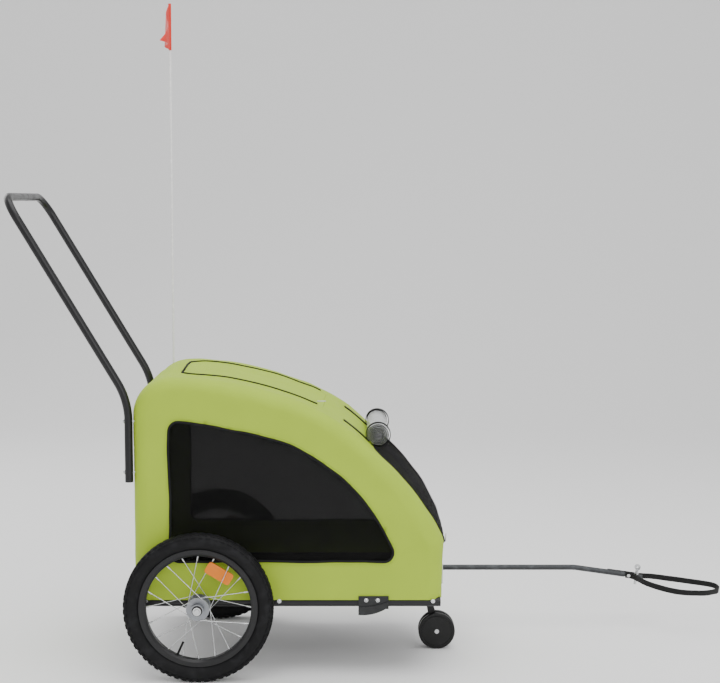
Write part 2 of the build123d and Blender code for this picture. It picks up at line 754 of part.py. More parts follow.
tube_section = tyre_section - tyre_casing - gap
with BuildPart() as inner_tube:
    with Locations(wheel_centre):
        Torus(tyre_centre, tube_section, rotation=(90, 0, 0))
    rod(rim_point(102, valve_angle), rim_point(tyre_centre - tube_section - gap, valve_angle), 3)
save_pair(inner_tube, "inner_tube")

with BuildPart() as rim:
    with BuildSketch(section):
        with BuildLine():
            Polyline((0, rim_inner), (9, rim_inner), (rim_half_width, rim_inner + 6),
                     (rim_half_width, rim_outer), (rim_half_width - 3, rim_outer),
                     (rim_half_width - 3, rim_inner + 7), (7, rim_inner + 3), (0, rim_inner + 3))
            mirror(about=Plane.YZ)
        make_face()
    revolve(axis=wheel_axis)
    with BuildSketch(Plane(origin=rim_point(rim_inner - 10, valve_angle),
                           z_dir=rim_point(1, valve_angle) - Vector(*wheel_centre))):
        Circle(3 + gap)
    extrude(amount=20, mode=Mode.SUBTRACT)
save_pair(rim, "rim")

with BuildPart() as spokes:
    for index in range(spoke_count):
        rim_angle = index * 360 / spoke_count
        side = 1 if index % 2 else -1
        leading = index % 4 < 2
        hub_angle = rim_angle + (spoke_sweep if leading else -spoke_sweep)
        hub_side = flange_inner - spoke_radius - gap if leading else flange_outer + 1.8
        start = rim_point(flange_radius - 1.5, hub_angle, side * hub_side)
        end = rim_point(rim_inner - 0.7, rim_angle, side * 3)
        rod(start, end, spoke_radius)
        rod(end - (end - start).normalized() * 12, end, nipple_radius)
save_pair(spokes, "spokes")

with BuildPart() as hub_shell:
    turned_ring(9, barrel_radius, -hub_half, hub_half)
    for low, high in [(-flange_outer, -flange_inner), (flange_inner, flange_outer)]:
        turned_ring(barrel_radius, flange_radius, low, high)
    seat_depth = bearing_width + gap
    with BuildSketch(section):
        with Locations((hub_half - seat_depth / 2, bearing_radius / 2),
                       (seat_depth / 2 - hub_half, bearing_radius / 2)):
            Rectangle(seat_depth, bearing_radius)
    revolve(axis=wheel_axis, mode=Mode.SUBTRACT)
save_pair(hub_shell, "hub_shell")

with BuildPart() as hub_bearings:
    turned_ring(axle_radius + running, bearing_radius - running, hub_half - bearing_width, hub_half)
    turned_ring(axle_radius + running, bearing_radius - running, -hub_half, bearing_width - hub_half)
save_pair(hub_bearings, "hub_bearings")

with BuildPart() as wheel_axle:
    socket_face = -(track / 2 - outer_skin - 3)
    head_low = hub_half + gap
    turned_ring(0, axle_radius, -track / 2 + arch_y - 50, head_low + 1)
    turned_ring(axle_radius - 1, 9, socket_face + gap, -hub_half - gap)
    turned_ring(0, head_radius, head_low, head_low + 6.5)
    with Locations(rim_point(0, 0, head_low + 6.5)):
        Cylinder(button_radius + gap, 10, rotation=(90, 0, 0), mode=Mode.SUBTRACT)
save_pair(wheel_axle, "wheel_axle")

with BuildPart() as release_button:
    turned_ring(0, button_radius, head_low + 1.5 + gap + button_travel, head_low + 9.5)
    fillet(release_button.edges().filter_by(GeomType.CIRCLE).sort_by(Axis.Y)[:1], 1.2)
save_pair(release_button, "release_button")

with BuildPart() as spoke_reflector:
    radial = (rim_point(1, spoke_reflector_angle) - Vector(*wheel_centre)).normalized()
    with BuildSketch(Plane(origin=rim_point(spoke_reflector_radius, spoke_reflector_angle, -3.2),
                           x_dir=radial, z_dir=(0, -1, 0))):
        RectangleRounded(33, 75, 8)
    extrude(amount=6.4)
save_pair(spoke_reflector, "spoke_reflector")

# ---- flag, its pole and sleeve, on the left side ------------------------------------------
pole_radius = 3
pole_top = 1851
sleeve_radius = 6
sleeve_low = 428
sleeve_top = 560
pole_x = rear_x + 48
pole_y = side_y + gap + sleeve_radius
flag_drop = 137
flag_reach = 200

with BuildPart() as pole_sleeve:
    with BuildSketch(Plane.XY.offset(sleeve_low)):
        with Locations((pole_x, pole_y)):
            Circle(sleeve_radius)
    extrude(amount=sleeve_top - sleeve_low)
    with BuildSketch(Plane.XY.offset(sleeve_low + 2)):
        with Locations((pole_x, pole_y)):
            Circle(pole_radius + gap)
    extrude(amount=sleeve_top - sleeve_low, mode=Mode.SUBTRACT)
save(pole_sleeve, "pole_sleeve")

with BuildPart() as flag_pole:
    with BuildSketch(Plane.XY.offset(sleeve_low + 2 + gap)):
        with Locations((pole_x, pole_y)):
            Circle(pole_radius)
    extrude(amount=pole_top - sleeve_low - 2 - gap)
save(flag_pole, "flag_pole")

with BuildPart() as flag:
    with BuildSketch(Plane.YZ.offset(pole_x - 0.5)):
        with BuildLine():
            hoist = pole_y - pole_radius - gap - 0.5
            Polyline((hoist, pole_top - 2), (hoist, pole_top - flag_drop),
                     (hoist - flag_reach, pole_top - flag_drop + 8), (hoist, pole_top - 2))
        make_face()
    extrude(amount=1)
    with BuildSketch(Plane.XY.offset(pole_top - flag_drop)):
        with Locations((pole_x, pole_y)):
            ring_tube(pole_radius + gap + 1, 1)
    extrude(amount=flag_drop - 2)
save(flag, "flag")

# ---- reflectors ---------------------------------------------------------------------------
front_lens = (76, 54)
front_lens_z = 221
rear_lens = (50, 35)
rear_lens_z = 237
rear_lens_y = 205
base_thick = 7
lens_thick = 6

with BuildPart() as reflector_bases:
    with BuildSketch(Plane.YZ.offset(front_x + gap)):
        with Locations((0, front_lens_z)):
            RectangleRounded(front_lens[0] + 4, front_lens[1] + 4, 6)
    extrude(amount=base_thick)
    with BuildSketch(Plane.YZ.offset(rear_x - gap)):
        with Locations((rear_lens_y, rear_lens_z), (-rear_lens_y, rear_lens_z)):
            RectangleRounded(rear_lens[0] + 4, rear_lens[1] + 4, 5)
    extrude(amount=-base_thick)
save(reflector_bases, "reflector_bases")

with BuildPart() as front_reflector:
    with BuildSketch(Plane.YZ.offset(front_x + 2 * gap + base_thick)):
        with Locations((0, front_lens_z)):
            RectangleRounded(*front_lens, 5)
    extrude(amount=lens_thick)
save(front_reflector, "front_reflector")

with BuildPart() as rear_reflectors:
    with BuildSketch(Plane.YZ.offset(rear_x - 2 * gap - base_thick)):
        with Locations((rear_lens_y, rear_lens_z), (-rear_lens_y, rear_lens_z)):
            RectangleRounded(*rear_lens, 4)
    extrude(amount=-lens_thick)
save(rear_reflectors, "rear_reflectors")
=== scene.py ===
# %% [markdown]
# This notebook dresses the CAD frame of a pet bicycle trailer: a green cloth
# cabin on a black tube frame with spoked wheels, a caster, a push handle, a tow
# bar and a flag. The frame is loaded first, because every piece rides on one of
# its bodies and takes its place from them.

import json
import math
import bmesh
import bpy
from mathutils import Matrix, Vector, noise

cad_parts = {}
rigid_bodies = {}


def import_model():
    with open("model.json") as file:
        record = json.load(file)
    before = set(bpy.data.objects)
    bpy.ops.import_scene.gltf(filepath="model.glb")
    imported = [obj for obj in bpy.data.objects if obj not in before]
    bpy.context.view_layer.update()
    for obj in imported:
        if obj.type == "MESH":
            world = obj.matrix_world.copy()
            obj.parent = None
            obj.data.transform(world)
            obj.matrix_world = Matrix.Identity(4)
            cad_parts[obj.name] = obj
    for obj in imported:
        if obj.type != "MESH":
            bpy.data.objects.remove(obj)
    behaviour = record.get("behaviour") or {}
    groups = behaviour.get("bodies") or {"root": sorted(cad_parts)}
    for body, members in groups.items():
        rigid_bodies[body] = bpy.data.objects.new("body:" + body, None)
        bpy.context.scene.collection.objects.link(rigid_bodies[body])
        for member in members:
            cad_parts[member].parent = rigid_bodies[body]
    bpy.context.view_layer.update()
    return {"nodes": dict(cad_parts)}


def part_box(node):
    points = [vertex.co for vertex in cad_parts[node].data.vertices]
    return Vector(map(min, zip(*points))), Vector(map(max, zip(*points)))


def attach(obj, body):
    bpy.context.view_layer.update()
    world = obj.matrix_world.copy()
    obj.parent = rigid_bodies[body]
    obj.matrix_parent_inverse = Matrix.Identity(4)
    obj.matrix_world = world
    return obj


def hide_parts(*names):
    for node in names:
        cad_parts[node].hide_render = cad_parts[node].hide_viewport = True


for spare in list(bpy.data.objects):
    bpy.data.objects.remove(spare)
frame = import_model()
nodes = frame["nodes"]

# %% [markdown]
# Real finishes are never one flat value. Three effects come up in many of the
# materials, so each is a shader node group: threads for cloth, cloudy colour
# for anything dyed or dusty, and fine speckle for paint and plastic. A group
# hands out only masks and heights, and each material keeps its own shader.

# %% Shader group helpers
def new_group(name, inputs, outputs):
    tree = bpy.data.node_groups.new(name, "ShaderNodeTree")
    for label, value in inputs:
        socket = tree.interface.new_socket(label, in_out="INPUT", socket_type="NodeSocketFloat")
        socket.default_value = value
    for label in outputs:
        tree.interface.new_socket(label, in_out="OUTPUT", socket_type="NodeSocketFloat")
    return tree, tree.nodes.new("NodeGroupInput"), tree.nodes.new("NodeGroupOutput")


def math_node(tree, operation, a, b=None):
    node = tree.nodes.new("ShaderNodeMath")
    node.operation = operation
    for socket, value in zip(node.inputs, (a, b)):
        if value is None:
            continue
        if isinstance(value, (int, float)):
            socket.default_value = value
        else:
            tree.links.new(value, socket)
    return node.outputs[0]


def object_axes(tree):
    """The three object coordinates, as separate sockets."""
    place = tree.nodes.new("ShaderNodeTexCoord")
    split = tree.nodes.new("ShaderNodeSeparateXYZ")
    tree.links.new(place.outputs["Object"], split.inputs[0])
    return place.outputs["Object"], split.outputs


# %% Thread group: a lattice of sines, which reads as a weave on any side
threads, given, put = new_group("threads", [("Spacing", 0.0012)], ["Height"])
spot, axes = object_axes(threads)
waves = []
for axis in axes:
    turns = math_node(threads, "DIVIDE", axis, given.outputs["Spacing"])
    waves.append(math_node(threads, "SINE", math_node(threads, "MULTIPLY", turns, math.tau)))
total = math_node(threads, "ADD", math_node(threads, "ADD", waves[0], waves[1]), waves[2])
threads.links.new(math_node(threads, "MULTIPLY_ADD", total, 0.2), put.inputs["Height"])

# %% Cloud group: slow patches of lighter and darker dye
clouds, given, put = new_group("clouds", [("Patches per metre", 9.0)], ["Mask"])
spot, axes = object_axes(clouds)
grain = clouds.nodes.new("ShaderNodeTexNoise")
grain.inputs["Detail"].default_value = 3
clouds.links.new(spot, grain.inputs["Vector"])
clouds.links.new(given.outputs[0], grain.inputs["Scale"])
clouds.links.new(grain.outputs[0], put.inputs["Mask"])

# %% Speckle group: moulded grain, orange peel and fine scuffs
speckle, given, put = new_group("speckle", [("Grains per metre", 900.0)], ["Height", "Scuffs"])
spot, axes = object_axes(speckle)
fine = speckle.nodes.new("ShaderNodeTexNoise")
fine.inputs["Detail"].default_value = 2
speckle.links.new(spot, fine.inputs["Vector"])
speckle.links.new(given.outputs[0], fine.inputs["Scale"])
speckle.links.new(fine.outputs[0], put.inputs["Height"])
broad = speckle.nodes.new("ShaderNodeTexNoise")
broad.inputs["Scale"].default_value = 40
broad.inputs["Detail"].default_value = 6
speckle.links.new(spot, broad.inputs["Vector"])
worn = speckle.nodes.new("ShaderNodeMapRange")
worn.inputs["From Min"].default_value = 0.5
worn.inputs["From Max"].default_value = 0.72
speckle.links.new(broad.outputs[0], worn.inputs["Value"])
speckle.links.new(worn.outputs[0], put.inputs["Scuffs"])
print("groups", [group.name for group in (threads, clouds, speckle)])

# %% [markdown]
# A finish is a Principled shader plus two of those effects: the cloud or scuff
# mask moves the colour and the roughness a little, and the height goes to a
# Bump node. Values that are the same everywhere stay on the shader's own
# sockets, because an export can't follow them through other nodes.

# %% Finish helper
def finish(name, colour, rough, effect, size, relief=0.0002, change=0.15, **plain):
    """A material: effect is the bump's group, size its setting, change how far the colour moves."""
    material = bpy.data.materials.new(name)
    material.use_nodes = True
    tree = material.node_tree
    shader = tree.nodes["Principled BSDF"]
    for label, value in plain.items():
        shader.inputs[label.replace("_", " ")].default_value = value
    bump_group = tree.nodes.new("ShaderNodeGroup")
    bump_group.node_tree = effect
    bump_group.inputs[0].default_value = size
    bump = tree.nodes.new("ShaderNodeBump")
    bump.inputs["Distance"].default_value = relief
    tree.links.new(bump_group.outputs["Height"], bump.inputs["Height"])
    tree.links.new(bump.outputs["Normal"], shader.inputs["Normal"])
    cloudy = tree.nodes.new("ShaderNodeGroup")
    cloudy.node_tree = clouds
    mask = cloudy.outputs["Mask"]
    if effect is speckle:
        mask = bump_group.outputs["Scuffs"]
    blend = tree.nodes.new("ShaderNodeMix")
    blend.data_type = "RGBA"
    dark = [value * (1 - change) for value in colour]
    light = [min(1, value * (1 + change) + change * 0.004) for value in colour]
    blend.inputs["A"].default_value = (*dark, 1)
    blend.inputs["B"].default_value = (*light, 1)
    tree.links.new(mask, blend.inputs["Factor"])
    tree.links.new(blend.outputs["Result"], shader.inputs["Base Color"])
    spread = tree.nodes.new("ShaderNodeMapRange")
    spread.inputs["To Min"].default_value = max(0.03, rough - 0.06)
    spread.inputs["To Max"].default_value = min(1, rough + 0.08)
    tree.links.new(mask, spread.inputs["Value"])
    tree.links.new(spread.outputs[0], shader.inputs["Roughness"])
    return material


# %% Cloth finishes
green_cloth = finish("green coated cloth", (0.37, 0.52, 0.03), 0.62, threads, 0.0011,
                     relief=0.00025, change=0.07, Specular_IOR_Level=0.3)
black_binding = finish("black binding", (0.008, 0.008, 0.008), 0.7, threads, 0.001, change=0.3,
                       Specular_IOR_Level=0.2)
black_webbing = finish("black webbing", (0.009, 0.009, 0.009), 0.66, threads, 0.0022,
                       relief=0.0006, change=0.3, Specular_IOR_Level=0.2)
green_thread = finish("green thread", (0.24, 0.36, 0.02), 0.6, threads, 0.0006)
pull_cord = finish("pale pull cord", (0.55, 0.56, 0.5), 0.6, threads, 0.0008)
mat_cloth = finish("floor cloth", (0.02, 0.021, 0.018), 0.75, threads, 0.0016, change=0.3)
flag_cloth = finish("orange flag cloth", (0.65, 0.012, 0.0), 0.5, threads, 0.0012, change=0.08)

# %% Metal and plastic finishes
black_coat = finish("black powder coat", (0.01, 0.01, 0.011), 0.36, speckle, 1400,
                    relief=0.00006, change=0.1, Coat_Weight=0.15, Coat_Roughness=0.2,
                    Specular_IOR_Level=0.28)
# The tow brackets wear a copy of the black powder coat painted a little lighter grey: a painted highlight
# for the light that falls on their up-facing lower lip.
bracket_coat_with_painted_highlight = finish("bracket coat with painted highlight", (0.016, 0.017, 0.018), 0.4, speckle, 1200,
                      relief=0.00006, change=0.25, Specular_IOR_Level=0.35)
tow_coat = finish("grey tow bar coat", (0.06, 0.063, 0.067), 0.36, speckle, 1500,
                  relief=0.00004, change=0.3, Metallic=0.7)
zinc = finish("bright zinc", (0.66, 0.67, 0.68), 0.25, speckle, 1500, relief=0.00003,
              change=0.12, Metallic=1.0)
hub_metal = finish("hub alloy", (0.3, 0.31, 0.33), 0.42, speckle, 1100, relief=0.00004,
                   change=0.12, Metallic=1.0)
black_plastic = finish("black moulded plastic", (0.01, 0.01, 0.01), 0.45, speckle, 1800,
                       relief=0.00008, change=0.3, Specular_IOR_Level=0.3)
board = finish("floor board", (0.02, 0.02, 0.02), 0.6, speckle, 700, change=0.3)
tyre_rubber = finish("tyre rubber", (0.01, 0.01, 0.011), 0.68, speckle, 800,
                     relief=0.00015, change=0.4, Specular_IOR_Level=0.18)
white_rod = finish("white glass fibre", (0.82, 0.82, 0.82), 0.3, speckle, 900,
                   relief=0.00002, change=0.05)

# %% [markdown]
# Reflectors are clear mouldings over rows of prisms. The prisms are too small
# to model one by one, so a bump of fine waves stands for them, under a smooth
# clear coat that carries the highlight.

# %% Reflector finishes
def lens(name, colour):
    return finish(name, colour, 0.16, threads, 0.0026, relief=0.0012, change=0.2,
                  Coat_Weight=0.25, Coat_Roughness=0.06, Specular_IOR_Level=0.3)


amber_lens = lens("amber lens", (0.9, 0.22, 0.0))
clear_lens = lens("clear lens", (0.82, 0.84, 0.86))
red_lens = lens("red lens", (0.62, 0.015, 0.015))

# %% [markdown]
# Mesh cloth is mostly holes. Modelling each hole would take millions of faces,
# so the material's alpha makes them: a lattice of threads decides how much of
# each spot is solid. Clear
# film is glossy and mostly see-through, by a plain alpha.

# %% See-through finishes
def mesh_finish(name, spacing, least, most):
    material = finish(name, (0.004, 0.004, 0.004), 0.8, threads, spacing, change=0.2,
                      Specular_IOR_Level=0.12)
    tree = material.node_tree
    shader = tree.nodes["Principled BSDF"]
    group = tree.nodes.new("ShaderNodeGroup")
    group.node_tree = threads
    group.inputs[0].default_value = spacing
    holes = tree.nodes.new("ShaderNodeMapRange")
    holes.inputs["From Min"].default_value = -0.4
    holes.inputs["From Max"].default_value = 0.4
    holes.inputs["To Min"].default_value = least
    holes.inputs["To Max"].default_value = most
    tree.links.new(group.outputs["Height"], holes.inputs["Value"])
    tree.links.new(holes.outputs[0], shader.inputs["Alpha"])
    return material


window_net = mesh_finish("window net", 0.0024, 0.34, 0.7)
front_net = mesh_finish("front net", 0.0024, 0.35, 0.75)
clear_film = finish("clear film", (0.88, 0.9, 0.9), 0.12, speckle, 60, relief=0.0008,
                    change=0.04, Alpha=0.3)
print("materials", len(bpy.data.materials))

# %% [markdown]
# The hard CAD nodes already have the right shape, so each only gets its finish.
# The list reads like a parts bin: one finish, then the nodes that wear it.

# %% Finish the hard parts
hard_parts = {
    black_coat: ["side_rail_right", "side_rail_left", "cross_tubes", "side_arch_right",
                 "side_arch_left", "roof_spreaders", "handle_tube", "caster_mount",
                 "rim_right", "rim_left"],
    bracket_coat_with_painted_highlight: ["tow_bracket_right", "tow_bracket_left"],
    tow_coat: ["tow_bar", "hitch_tongue"],
    zinc: ["axle_sockets", "frame_screws", "handle_bolts", "tow_pivot", "hitch_pin",
           "strap_bolt", "caster_axle", "wheel_axle_right", "wheel_axle_left",
           "release_button_right", "release_button_left", "spokes_right", "spokes_left"],
    hub_metal: ["hub_shell_right", "hub_shell_left"],
    black_plastic: ["handle_spacers", "caster_fork", "caster_wheel_right",
                    "caster_wheel_left", "reflector_bases", "hub_bearings_right",
                    "hub_bearings_left"],
    board: ["floor_panel"],
    tyre_rubber: ["tyre_right", "tyre_left", "inner_tube_right", "inner_tube_left"],
    amber_lens: ["spoke_reflector_right", "spoke_reflector_left"],
    clear_lens: ["front_reflector"],
    red_lens: ["rear_reflectors"],
    white_rod: ["flag_pole"],
}
for material, names in hard_parts.items():
    for name in names:
        for holder in nodes[name].material_slots:
            holder.material = material
print("hard nodes", sum(len(names) for names in hard_parts.values()))

# %% [markdown]
# Cloth on a tube frame is never flat: it pulls tight over the tubes and goes
# slack between them. The tubes stop it going
# inwards, so ripples only stand out. One field moves all of it, a slow seeded noise plus a
# swell at the front, so the cover, its flaps and its bindings shift together
# and no gap opens between them. It fades at the hem, where screws hold it.

# %% Slack field
# noise_vector starts from a new random seed in each Blender, so it is set here, before any piece uses it
wrinkle_seed = 7
noise.seed_set(wrinkle_seed)


def ease(value, low, high):
    step = min(1.0, max(0.0, (value - low) / (high - low)))
    return step * step * (3 - 2 * step)


def slack(point):
    """Where a point of tight cloth lies once the cloth is slack."""
    hold = ease(point.z, 0.21, 0.27) * (0.25 + 0.75 * ease(point.x, -0.668, -0.62))
    hold *= 1 - 0.85 * ease(point.x, -0.11, -0.06) * ease(point.z, 0.585, 0.615)
    ripple = noise.noise_vector(point * 5.5 + Vector((11, 3, 7))) * 0.0055
    ripple += noise.noise_vector(point * 16 + Vector((5, 17, 2))) * 0.0022
    swell = ease(point.x, -0.07, 0.03) * ease(point.z, 0.24, 0.34) * (1 - ease(point.z, 0.5, 0.6))
    swell *= max(0.0, 1 - (point.y / 0.265) ** 2) * 0.011
    side = ease(abs(point.y), 0.2, 0.26)
    away = Vector((point.x + 0.3, 0, point.z - 0.4)).normalized() * (1 - side)
    away.y = math.copysign(side, point.y)
    away.normalize()
    pressed = ripple.dot(away)
    if pressed < -0.0005:
        ripple -= away * (pressed + 0.0005)
    return point + ripple * hold + Vector((0.85, 0, 0.5)) * swell


# %% Piece helpers
def link_piece(mesh, name, materials, angle=40):
    """A finished mesh as a smooth object in the scene."""
    piece = bpy.data.objects.new(name, mesh)
    bpy.context.scene.collection.objects.link(piece)
    mesh.materials.clear()
    for material in materials:
        mesh.materials.append(material)
    mesh.shade_smooth()
    mesh.set_sharp_from_angle(angle=math.radians(angle))
    return piece


def grid_cut(shape, step):
    """Cuts a bmesh along planes every step metres, so that flat walls can bend."""
    low = [min(v.co[i] for v in shape.verts) for i in range(3)]
    high = [max(v.co[i] for v in shape.verts) for i in range(3)]
    for i in range(3):
        count = int((high[i] - low[i]) / step)
        normal = Vector([float(i == j) for j in range(3)])
        for k in range(1, count + 1):
            place = normal * (low[i] + (high[i] - low[i]) * k / (count + 1))
            everything = shape.verts[:] + shape.edges[:] + shape.faces[:]
            bmesh.ops.bisect_plane(shape, geom=everything, dist=1e-6, plane_co=place, plane_no=normal)


def cloth_from(node, material, body, step=0.016, move=slack, name=None):
    """The cloth piece that stands for a CAD node: same outline, cut fine and moved."""
    shape = bmesh.new()
    shape.from_mesh(nodes[node].data)
    bmesh.ops.remove_doubles(shape, verts=shape.verts[:], dist=1e-5)
    grid_cut(shape, step)
    for vertex in shape.verts:
        vertex.co = move(vertex.co.copy())
    mesh = bpy.data.meshes.new(name or f"{node}_cloth")
    shape.to_mesh(mesh)
    shape.free()
    piece = link_piece(mesh, mesh.name, [material])
    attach(piece, body)
    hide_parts(node)
    print(piece.name, len(mesh.polygons), "faces")
    return piece


# %% [markdown]
# The cabin cover and its two green flaps are copies of their CAD solids, cut
# along a fine grid and moved by the slack field. No cloth simulation is run
# here: a simulation could crumple them more, and moving points by a field is
# the quicker way, with every piece kept in step.

# %% Cabin cover and green flaps
cover = cloth_from("cabin_cover", green_cloth, "chassis")
rear_flap = cloth_from("rear_door", green_cloth, "rear_flap")
roof_flap = cloth_from("roof_hatch", green_cloth, "roof_flap")

# %% [markdown]
# The windows and the front flap are net. Net has no body of its own, so it sags
# in the middle of its opening a little more than the cloth round it does.

# %% Nets
def net_sag(point):
    moved = slack(point)
    across = max(0.0, 1 - ((point.x + 0.32) / 0.26) ** 2) * max(0.0, 1 - ((point.z - 0.48) / 0.2) ** 2)
    moved.y -= math.copysign(0.005 * across, point.y)
    return moved


cloth_from("window_mesh_right", window_net, "chassis", 0.02, net_sag)
cloth_from("window_mesh_left", window_net, "chassis", 0.02, net_sag)
front_flap = cloth_from("front_mesh_door", front_net, "front_flap", 0.016)

# %% [markdown]
# Webbing, the flag sleeve and the floor mat are soft too. Webbing stays close
# to its CAD run because it is held at both ends; the mat is quilted, so it
# rises between rows of stitching that run across the floor.

# %% Straps and sleeve
def webbing_move(point):
    return point + noise.noise_vector(point * 30 + Vector((2, 9, 4))) * 0.0006


cloth_from("roll_straps", black_webbing, "chassis", 0.012, webbing_move)
cloth_from("safety_strap", black_webbing, "tow_arm", 0.012, webbing_move)
sleeve = cloth_from("pole_sleeve", black_webbing, "chassis", 0.012, webbing_move)

# %% Quilted floor mat
low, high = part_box("floor_mat")


def quilt(point):
    if point.z > (low.z + high.z) / 2:
        row = abs(math.sin(math.pi * (point.x - low.x) / 0.095))
        column = abs(math.sin(math.pi * (point.y - low.y) / 0.15))
        point.z += 0.006 * min(1, row * 1.6) * min(1, column * 1.6) - 0.002
    return point


mat = cloth_from("floor_mat", mat_cloth, "chassis", 0.011, quilt)

# %% [markdown]
# Bindings, piping and zips follow the edges of the openings. Each edge is read
# off the frame as a loop of points, moved with the slack field, and handed to
# Geometry Nodes, which sweeps a round cord along it or sets stitches or teeth
# on it. One tree makes cords and one makes beads, with sizes as inputs.

# %% Read an edge loop from a node
def edge_loops(node, facing, limit=0.6):
    """Closed loops round the faces of a node that look along facing, longest first."""
    shape = bmesh.new()
    shape.from_mesh(nodes[node].data)
    bmesh.ops.remove_doubles(shape, verts=shape.verts[:], dist=1e-5)
    facing = Vector(facing)
    keep = {f for f in shape.faces if f.normal.dot(facing) > limit}
    nexts = {}
    for edge in shape.edges:
        if sum(f in keep for f in edge.link_faces) == 1:
            a, b = edge.verts
            nexts.setdefault(a, []).append(b)
            nexts.setdefault(b, []).append(a)
    loops, seen = [], set()
    for start in nexts:
        if start in seen:
            continue
        loop, here = [], start
        while here is not None and here not in seen:
            seen.add(here)
            loop.append(here.co.copy())
            here = next((v for v in nexts[here] if v not in seen), None)
        if len(loop) > 3:
            loops.append(loop)
    shape.free()
    length = lambda loop: sum((a - b).length for a, b in zip(loop, loop[1:]))
    return sorted(loops, key=length, reverse=True)


def resample(loop, step=0.006, closed=True):
    """Points every step metres along a loop."""
    points = loop + loop[:1] if closed else loop
    out = [points[0]]
    left = step
    for a, b in zip(points, points[1:]):
        span = (b - a).length
        at = left
        while at < span:
            out.append(a.lerp(b, at / span))
            at += step
        left = at - span
    return out


def path_object(name, loops, move=slack, closed=True):
    """A mesh of bare edges, which the node trees read as their path."""
    points, edges = [], []
    for loop in loops:
        base, count = len(points), len(loop)
        points += [move(point.copy()) for point in loop]
        edges += [(base + i, base + i + 1) for i in range(count - 1)]
        if closed:
            edges.append((base + count - 1, base))
    mesh = bpy.data.meshes.new(name)
    mesh.from_pydata(points, edges, [])
    path = bpy.data.objects.new(name, mesh)
    bpy.context.scene.collection.objects.link(path)
    return path


# %% Node tree helpers
def new_tree(name, sizes):
    tree = bpy.data.node_groups.new(name, "GeometryNodeTree")
    tree.interface.new_socket("Geometry", in_out="INPUT", socket_type="NodeSocketGeometry")
    for label, kind, value in sizes:
        socket = tree.interface.new_socket(label, in_out="INPUT", socket_type=f"NodeSocket{kind}")
        if value is not None:
            socket.default_value = value
    tree.interface.new_socket("Geometry", in_out="OUTPUT", socket_type="NodeSocketGeometry")
    return tree, tree.nodes.new("NodeGroupInput"), tree.nodes.new("NodeGroupOutput")


def add(tree, kind, links=None, **values):
    node = tree.nodes.new(kind)
    for label, value in values.items():
        setattr(node, label, value)
    for key, value in (links or {}).items():
        if isinstance(value, bpy.types.NodeSocket):
            tree.links.new(value, node.inputs[key])
        else:
            node.inputs[key].default_value = value
    return node


def grow(path, tree, name, body, slot_name, **sizes):
    """Runs a tree on a path, keeps the result as a plain mesh and drops the path."""
    modifier = path.modifiers.new("grow", "NODES")
    modifier.node_group = tree
    sockets = {item.name: item.identifier for item in tree.interface.items_tree if item.in_out == "INPUT"}
    for label, value in sizes.items():
        modifier[sockets[label.replace("_", " ")]] = value
    ready = path.evaluated_get(bpy.context.evaluated_depsgraph_get())
    mesh = bpy.data.meshes.new_from_object(ready)
    material = sizes["Finish"]
    path.modifiers.remove(modifier)
    bpy.data.objects.remove(path)
    mesh.name = name
    piece = link_piece(mesh, name, [material])
    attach(piece, body)
    print(name, len(mesh.polygons), "faces")
    return piece


# %% Cord tree: a round cord swept along a path
cord_tree, given, put = new_tree("sewn cord", [("Radius", "Float", 0.0025), ("Finish", "Material", None)])
curve = add(cord_tree, "GeometryNodeMeshToCurve", {0: given.outputs["Geometry"]})
ring = add(cord_tree, "GeometryNodeCurvePrimitiveCircle", {
    "Resolution": 8, "Radius": given.outputs["Radius"]})
swept = add(cord_tree, "GeometryNodeCurveToMesh", {"Curve": curve.outputs[0],
            "Profile Curve": ring.outputs[0],
                                                  "Fill Caps": True})
painted = add(cord_tree, "GeometryNodeSetMaterial", {"Geometry": add(
    cord_tree, "GeometryNodeRealizeInstances", {0: swept.outputs[0]}).outputs[0],
    "Material": given.outputs["Finish"]})
cord_tree.links.new(painted.outputs[0], put.inputs[0])

# %% Bead tree: stitches or zip teeth set along a path
bead_tree, given, put = new_tree("beads on a path", [
    ("Spacing", "Float", 0.005), ("Long", "Float", 0.0034), ("Wide", "Float", 0.0011),
    ("High", "Float", 0.0009), ("Finish", "Material", None)])
curve = add(bead_tree, "GeometryNodeMeshToCurve", {0: given.outputs["Geometry"]})
dots = add(bead_tree, "GeometryNodeCurveToPoints", {"Curve": curve.outputs[0],
                                                    "Length": given.outputs["Spacing"]}, mode="LENGTH")
size = add(bead_tree, "ShaderNodeCombineXYZ", {0: given.outputs["Wide"], 1: given.outputs["High"],
                                               2: given.outputs["Long"]})
block = add(bead_tree, "GeometryNodeMeshCube", {"Size": size.outputs[0]})
rounded = add(bead_tree, "GeometryNodeSubdivisionSurface", {"Mesh": block.outputs[0], "Level": 1})
set_out = add(bead_tree, "GeometryNodeInstanceOnPoints", {"Points": dots.outputs["Points"],
                                                          "Instance": rounded.outputs[0],
                                                          "Rotation": dots.outputs["Rotation"]})
painted = add(bead_tree, "GeometryNodeSetMaterial", {"Geometry": add(
    bead_tree, "GeometryNodeRealizeInstances", {0: set_out.outputs[0]}).outputs[0],
    "Material": given.outputs["Finish"]})
bead_tree.links.new(painted.outputs[0], put.inputs[0])

# %% Window piping and its stitching
def outset(loop, distance, normal):
    """The loop moved outwards in its plane by distance."""
    middle = sum(loop, Vector()) / len(loop)
    count, out = len(loop), []
    for i, point in enumerate(loop):
        along = (loop[(i + 1) % count] - loop[i - 1]).normalized()
        side = along.cross(Vector(normal))
        if side.dot(point - middle) < 0:
            side.negate()
        out.append(point + side * distance)
    return out


for side, sign in (("right", -1), ("left", 1)):
    loop = resample(edge_loops(f"window_mesh_{side}", (0, sign, 0))[0], 0.006)
    for point in loop:
        point.y = sign * 0.2655
    grow(path_object("p", [loop]), cord_tree, f"window_piping_{side}", "chassis", "webbing",
         Radius=0.0035, Finish=black_binding)
    seam = [point + Vector((0, sign * 0.0002, 0)) for point in outset(loop, 0.009, (0, 1, 0))]
    grow(path_object("p", [seam]), bead_tree, f"window_stitches_{side}", "chassis", "cabin_fabric",
         Finish=green_thread)

